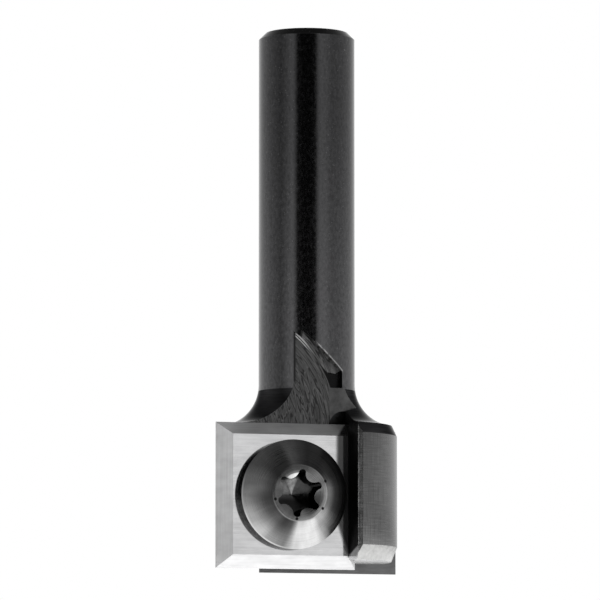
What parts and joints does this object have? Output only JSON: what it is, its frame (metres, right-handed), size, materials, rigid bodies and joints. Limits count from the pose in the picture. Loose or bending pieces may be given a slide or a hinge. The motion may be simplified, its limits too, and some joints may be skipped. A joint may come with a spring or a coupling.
{
  "type": "indexable slot mill",
  "caption": "Straight slot mill: a slim shank with a concave flare and a round head, square reversible knives screwed on opposite flat seats.",
  "frame": {"origin": "on the tool's axis, at the height of the knives' lower cutting edges", "axes": "+Z along the shank, away from the knives; the front seat faces -Y and +X runs across it towards its wall"},
  "size_m": [0.0178, 0.0148, 0.045],
  "materials": {
    "body_steel": "blackened steel, fine turned and ground marks, bare at worn edges",
    "knife_carbide": "fine ground carbide",
    "screw_steel": "smooth turned steel"
  },
  "bodies": {
    "root": {"cutter_body": "body_steel", "front_knife": "knife_carbide", "rear_knife": "knife_carbide", "front_knife_screw": "screw_steel", "rear_knife_screw": "screw_steel"}
  },
  "joints": []
}
